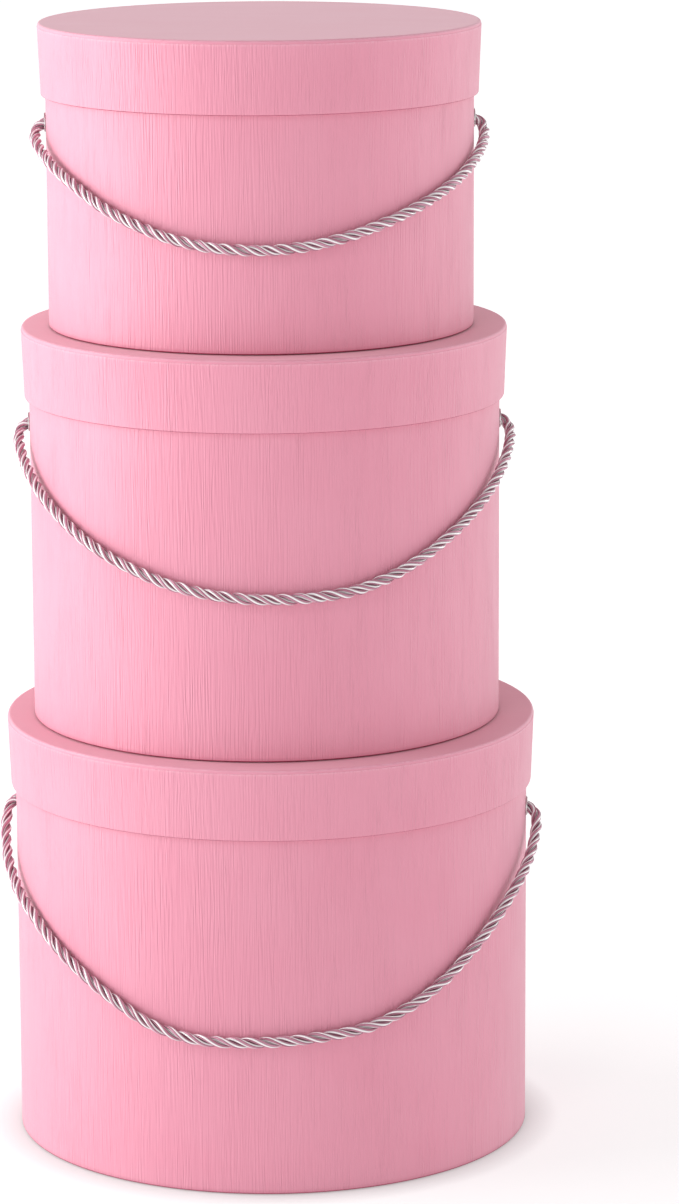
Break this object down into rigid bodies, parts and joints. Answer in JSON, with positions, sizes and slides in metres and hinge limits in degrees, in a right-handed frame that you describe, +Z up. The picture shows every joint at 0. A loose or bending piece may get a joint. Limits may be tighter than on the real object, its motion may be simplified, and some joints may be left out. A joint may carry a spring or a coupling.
{
  "type": "hat box set",
  "caption": "Stack of graduated round paper-covered hat boxes, each with a lift-off lid and a twisted cord handle hung between two metal eyelets.",
  "frame": {"origin": "centre of the large box's underside, on the surface it stands on", "axes": "+Z up through the stack; the handles hang at the front, towards -Y; the large box's eyelets are on the X axis"},
  "size_m": [0.3417, 0.3326, 0.6961],
  "materials": {
    "board": "matt grey board",
    "pink_paper": "pink covering paper, embossed with fine upright streaks",
    "lining_paper": "plain off-white lining paper",
    "eyelet_metal": "bright nickel-coloured pressed metal",
    "twisted_cord": "three-strand satin cord, pink and silver"
  },
  "bodies": {
    "large_box": {"large_wall": "board", "large_base": "board", "large_wrap": "pink_paper", "large_base_paper": "pink_paper", "large_lining": "lining_paper", "large_floor_paper": "lining_paper", "large_eyelet_left": "eyelet_metal", "large_eyelet_right": "eyelet_metal"},
    "large_handle": {"large_cord": "twisted_cord", "large_knot_left": "twisted_cord", "large_knot_right": "twisted_cord"},
    "large_lid": {"large_lid_rim": "board", "large_lid_top": "board", "large_lid_rim_paper": "pink_paper", "large_lid_top_paper": "pink_paper", "large_lid_rim_lining": "lining_paper", "large_lid_top_lining": "lining_paper"},
    "medium_box": {"medium_wall": "board", "medium_base": "board", "medium_wrap": "pink_paper", "medium_base_paper": "pink_paper", "medium_lining": "lining_paper", "medium_floor_paper": "lining_paper", "medium_eyelet_left": "eyelet_metal", "medium_eyelet_right": "eyelet_metal"},
    "medium_handle": {"medium_cord": "twisted_cord", "medium_knot_left": "twisted_cord", "medium_knot_right": "twisted_cord"},
    "medium_lid": {"medium_lid_rim": "board", "medium_lid_top": "board", "medium_lid_rim_paper": "pink_paper", "medium_lid_top_paper": "pink_paper", "medium_lid_rim_lining": "lining_paper", "medium_lid_top_lining": "lining_paper"},
    "small_box": {"small_wall": "board", "small_base": "board", "small_wrap": "pink_paper", "small_base_paper": "pink_paper", "small_lining": "lining_paper", "small_floor_paper": "lining_paper", "small_eyelet_left": "eyelet_metal", "small_eyelet_right": "eyelet_metal"},
    "small_handle": {"small_cord": "twisted_cord", "small_knot_left": "twisted_cord", "small_knot_right": "twisted_cord"},
    "small_lid": {"small_lid_rim": "board", "small_lid_top": "board", "small_lid_rim_paper": "pink_paper", "small_lid_top_paper": "pink_paper", "small_lid_rim_lining": "lining_paper", "small_lid_top_lining": "lining_paper"}
  },
  "joints": [
    {"name": "large_handle_swing", "type": "hinge", "parent": "large_box", "child": "large_handle", "pos_m": [0, 0, 0.205], "axis": [-1, 0, 0], "range_deg": [0, 45]},
    {"name": "large_lid_lift", "type": "slide", "parent": "large_box", "child": "large_lid", "axis": [0, 0, 1], "range_m": [0, 0.06]},
    {"name": "medium_box_lift", "type": "slide", "parent": "large_lid", "child": "medium_box", "axis": [0, 0, 1], "range_m": [0, 0.06]},
    {"name": "medium_handle_swing", "type": "hinge", "parent": "medium_box", "child": "medium_handle", "pos_m": [-0.0025, 0, 0.44905], "axis": [-0.9945, -0.1045, 0], "range_deg": [0, 35]},
    {"name": "medium_lid_lift", "type": "slide", "parent": "medium_box", "child": "medium_lid", "axis": [0, 0, 1], "range_m": [0, 0.06]},
    {"name": "small_box_lift", "type": "slide", "parent": "medium_lid", "child": "small_box", "axis": [0, 0, 1], "range_m": [0, 0.06]},
    {"name": "small_handle_swing", "type": "hinge", "parent": "small_box", "child": "small_handle", "pos_m": [-0.004, 0, 0.6351], "axis": [-0.9903, -0.1392, 0], "range_deg": [0, 30]},
    {"name": "small_lid_lift", "type": "slide", "parent": "small_box", "child": "small_lid", "axis": [0, 0, 1], "range_m": [0, 0.06]}
  ]
}
